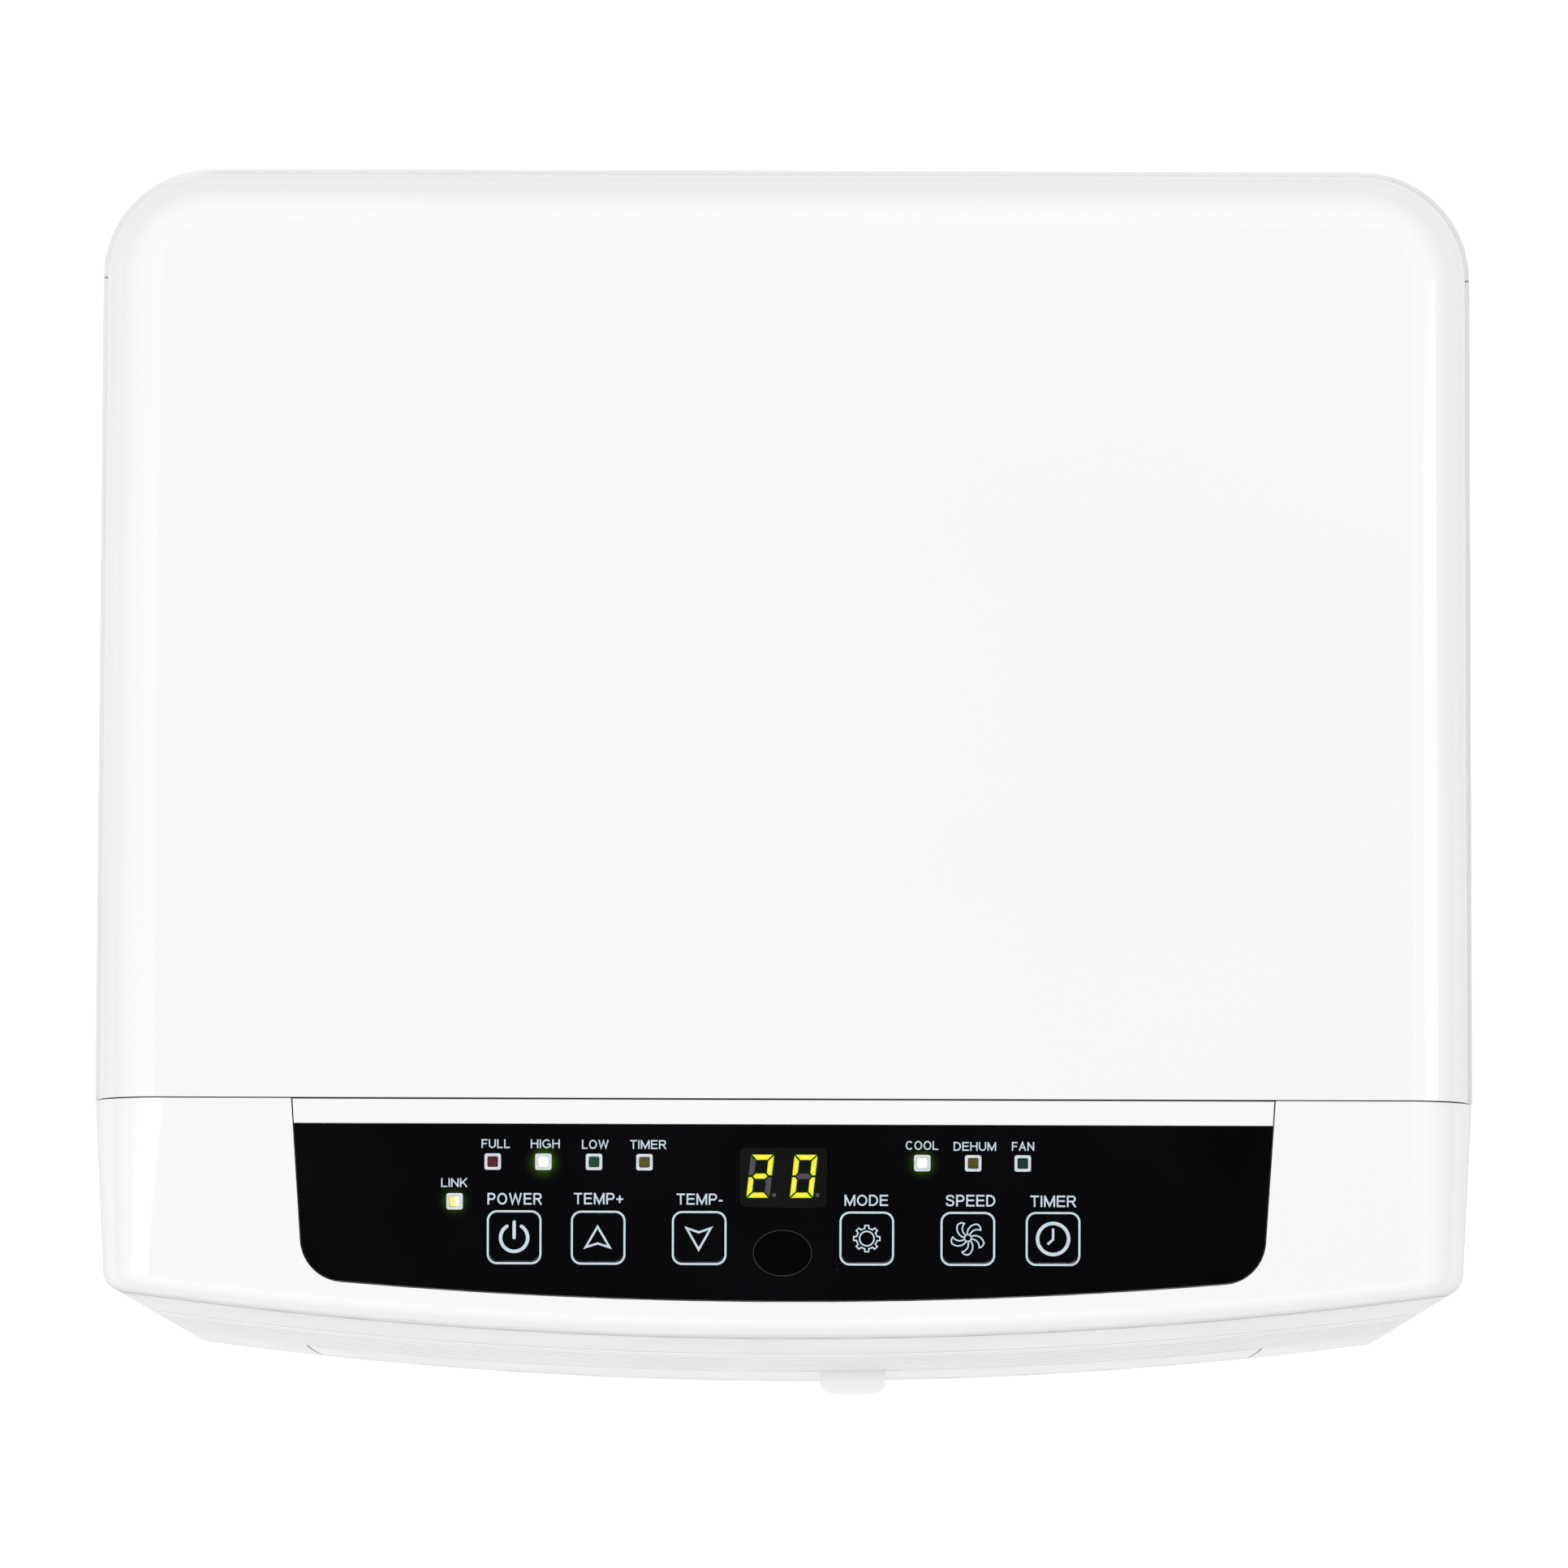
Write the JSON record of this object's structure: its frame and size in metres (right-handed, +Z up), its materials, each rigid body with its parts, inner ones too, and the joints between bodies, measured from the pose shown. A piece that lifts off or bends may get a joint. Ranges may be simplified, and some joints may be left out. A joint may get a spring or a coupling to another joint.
{
  "type": "portable air conditioner and dehumidifier",
  "caption": "White floor-standing air conditioner and dehumidifier on castors: curved ribbed front with outlet flap, sloping black control panel, rear filter and exhaust collar.",
  "frame": {"origin": "bottom centre of the bounding box, on the floor under the castors", "axes": "+Z up; the control panel and outlet face -Y, the intake grille and exhaust collar face +Y; +X to the right seen from the front"},
  "size_m": [0.33, 0.3068, 0.69],
  "materials": {
    "white_shell": "smooth white ABS, satin gloss",
    "white_front": "smooth white ABS, fine ribs",
    "white_inner": "white moulded plastic",
    "black_overlay": "glossy black printed panel",
    "lamp": "clear diffusing light pipe",
    "digit": "lit yellow-green segments",
    "display_body": "smoked display face",
    "receiver": "infrared-pass black lens",
    "circuit_board": "green circuit board",
    "grey_plastic": "grey moulded plastic",
    "filter_cloth": "woven nylon mesh",
    "screw_steel": "zinc-plated steel",
    "rubber_black": "black rubber",
    "rubber_grey": "grey rubber",
    "fin_aluminium": "aluminium fins",
    "motor_steel": "black painted steel",
    "compressor_black": "black enamelled steel",
    "sheet_steel": "galvanised sheet",
    "copper": "copper tube"
  },
  "bodies": {
    "cabinet": {"base_tray": "white_inner", "compressor": "compressor_black", "compressor_feet": "rubber_black", "condenser": "fin_aluminium", "condenser_fan_motor": "motor_steel", "console": "white_shell", "control_board": "circuit_board", "control_overlay": "black_overlay", "cord_inlet": "rubber_black", "display_digits": "digit", "display_housing": "display_body", "electrical_box": "sheet_steel", "evaporator": "fin_aluminium", "evaporator_fan_motor": "motor_steel", "exhaust_collar": "white_inner", "exhaust_fan_housing": "white_inner", "fasteners": "screw_steel", "front_lower_panel": "white_front", "front_upper_panel": "white_front", "lamp_windows": "lamp", "mid_deck": "white_inner", "outlet_duct": "white_inner", "panel_insert": "white_shell", "power_board": "circuit_board", "rear_panel": "white_shell", "receiver_window": "receiver", "refrigerant_lines": "copper", "side_panel_left": "white_shell", "side_panel_right": "white_shell", "splash_motor": "motor_steel", "top_cover": "white_shell", "upper_air_box": "white_inner"},
    "key_power": {"key_power": "black_overlay"},
    "key_up": {"key_up": "black_overlay"},
    "key_down": {"key_down": "black_overlay"},
    "key_mode": {"key_mode": "black_overlay"},
    "key_speed": {"key_speed": "black_overlay"},
    "key_timer": {"key_timer": "black_overlay"},
    "outlet_flap": {"outlet_flap": "white_front"},
    "vane_1": {"vane_1": "white_inner"},
    "vane_2": {"vane_2": "white_inner"},
    "vane_3": {"vane_3": "white_inner"},
    "vane_4": {"vane_4": "white_inner"},
    "vane_link": {"vane_link": "white_inner"},
    "intake_filter": {"intake_grille": "white_shell", "filter_mesh": "filter_cloth"},
    "drain_plug_upper": {"drain_plug_upper": "rubber_grey"},
    "drain_plug_lower": {"drain_plug_lower": "rubber_grey"},
    "evaporator_fan": {"evaporator_fan": "grey_plastic"},
    "condenser_fan": {"condenser_fan": "grey_plastic"},
    "splash_wheel": {"splash_wheel": "white_inner"},
    "float_ring": {"float_ring": "white_inner"},
    "castor_fork_front_left": {"castor_fork_front_left": "grey_plastic"},
    "castor_wheel_front_left": {"castor_wheel_front_left": "grey_plastic"},
    "castor_fork_front_right": {"castor_fork_front_right": "grey_plastic"},
    "castor_wheel_front_right": {"castor_wheel_front_right": "grey_plastic"},
    "castor_fork_rear_left": {"castor_fork_rear_left": "grey_plastic"},
    "castor_wheel_rear_left": {"castor_wheel_rear_left": "grey_plastic"},
    "castor_fork_rear_right": {"castor_fork_rear_right": "grey_plastic"},
    "castor_wheel_rear_right": {"castor_wheel_rear_right": "grey_plastic"}
  },
  "joints": [
    {"name": "key_power_press", "type": "slide", "parent": "cabinet", "child": "key_power", "axis": [0, 0.0889, -0.996], "range_m": [0, 0.0004], "stiffness_N_per_m": 600},
    {"name": "key_up_press", "type": "slide", "parent": "cabinet", "child": "key_up", "axis": [0, 0.0889, -0.996], "range_m": [0, 0.0004], "stiffness_N_per_m": 600},
    {"name": "key_down_press", "type": "slide", "parent": "cabinet", "child": "key_down", "axis": [0, 0.0889, -0.996], "range_m": [0, 0.0004], "stiffness_N_per_m": 600},
    {"name": "key_mode_press", "type": "slide", "parent": "cabinet", "child": "key_mode", "axis": [0, 0.0889, -0.996], "range_m": [0, 0.0004], "stiffness_N_per_m": 600},
    {"name": "key_speed_press", "type": "slide", "parent": "cabinet", "child": "key_speed", "axis": [0, 0.0889, -0.996], "range_m": [0, 0.0004], "stiffness_N_per_m": 600},
    {"name": "key_timer_press", "type": "slide", "parent": "cabinet", "child": "key_timer", "axis": [0, 0.0889, -0.996], "range_m": [0, 0.0004], "stiffness_N_per_m": 600},
    {"name": "flap_hinge", "type": "hinge", "parent": "cabinet", "child": "outlet_flap", "pos_m": [0, -0.1355, 0.508], "axis": [1, 0, 0], "range_deg": [0, 65]},
    {"name": "vane_1_turn", "type": "hinge", "parent": "cabinet", "child": "vane_1", "pos_m": [-0.078, -0.088, 0.513], "axis": [0, 0, 1], "range_deg": [-24, 24]},
    {"name": "vane_2_turn", "type": "hinge", "parent": "cabinet", "child": "vane_2", "pos_m": [-0.026, -0.088, 0.513], "axis": [0, 0, 1], "range_deg": [-24, 24]},
    {"name": "vane_3_turn", "type": "hinge", "parent": "cabinet", "child": "vane_3", "pos_m": [0.026, -0.088, 0.513], "axis": [0, 0, 1], "range_deg": [-24, 24]},
    {"name": "vane_4_turn", "type": "hinge", "parent": "cabinet", "child": "vane_4", "pos_m": [0.078, -0.088, 0.513], "axis": [0, 0, 1], "range_deg": [-24, 24]},
    {"name": "vane_link_slide", "type": "slide", "parent": "cabinet", "child": "vane_link", "axis": [1, 0, 0], "range_m": [-0.005, 0.005]},
    {"name": "intake_filter_pull", "type": "slide", "parent": "cabinet", "child": "intake_filter", "axis": [0, 1, 0], "range_m": [0, 0.06]},
    {"name": "drain_plug_upper_pull", "type": "slide", "parent": "cabinet", "child": "drain_plug_upper", "axis": [0, 1, 0], "range_m": [0, 0.025]},
    {"name": "drain_plug_lower_pull", "type": "slide", "parent": "cabinet", "child": "drain_plug_lower", "axis": [0, 1, 0], "range_m": [0, 0.025]},
    {"name": "evaporator_fan_spin", "type": "hinge", "parent": "cabinet", "child": "evaporator_fan", "pos_m": [0, 0.034, 0.542], "axis": [0, 1, 0], "continuous": true},
    {"name": "condenser_fan_spin", "type": "hinge", "parent": "cabinet", "child": "condenser_fan", "pos_m": [0.055, 0, 0.345], "axis": [0, 1, 0], "continuous": true},
    {"name": "splash_wheel_spin", "type": "hinge", "parent": "cabinet", "child": "splash_wheel", "pos_m": [0.07, 0.072, 0.088], "axis": [0, 1, 0], "continuous": true},
    {"name": "float_rise", "type": "slide", "parent": "cabinet", "child": "float_ring", "axis": [0, 0, 1], "range_m": [0, 0.016]},
    {"name": "castor_front_left_swivel", "type": "hinge", "parent": "cabinet", "child": "castor_fork_front_left", "pos_m": [-0.122, -0.078, 0.05], "axis": [0, 0, 1], "continuous": true},
    {"name": "castor_front_left_roll", "type": "hinge", "parent": "castor_fork_front_left", "child": "castor_wheel_front_left", "pos_m": [-0.122, -0.064, 0.019], "axis": [1, 0, 0], "continuous": true},
    {"name": "castor_front_right_swivel", "type": "hinge", "parent": "cabinet", "child": "castor_fork_front_right", "pos_m": [0.122, -0.078, 0.05], "axis": [0, 0, 1], "continuous": true},
    {"name": "castor_front_right_roll", "type": "hinge", "parent": "castor_fork_front_right", "child": "castor_wheel_front_right", "pos_m": [0.122, -0.064, 0.019], "axis": [1, 0, 0], "continuous": true},
    {"name": "castor_rear_left_swivel", "type": "hinge", "parent": "cabinet", "child": "castor_fork_rear_left", "pos_m": [-0.122, 0.088, 0.05], "axis": [0, 0, 1], "continuous": true},
    {"name": "castor_rear_left_roll", "type": "hinge", "parent": "castor_fork_rear_left", "child": "castor_wheel_rear_left", "pos_m": [-0.122, 0.102, 0.019], "axis": [1, 0, 0], "continuous": true},
    {"name": "castor_rear_right_swivel", "type": "hinge", "parent": "cabinet", "child": "castor_fork_rear_right", "pos_m": [0.122, 0.088, 0.05], "axis": [0, 0, 1], "continuous": true},
    {"name": "castor_rear_right_roll", "type": "hinge", "parent": "castor_fork_rear_right", "child": "castor_wheel_rear_right", "pos_m": [0.122, 0.102, 0.019], "axis": [1, 0, 0], "continuous": true}
  ],
  "couplings": [
    {"joint": "vane_1_turn", "follows": "vane_link_slide", "rad_per_m": -83.333},
    {"joint": "vane_2_turn", "follows": "vane_link_slide", "rad_per_m": -83.333},
    {"joint": "vane_3_turn", "follows": "vane_link_slide", "rad_per_m": -83.333},
    {"joint": "vane_4_turn", "follows": "vane_link_slide", "rad_per_m": -83.333}
  ]
}
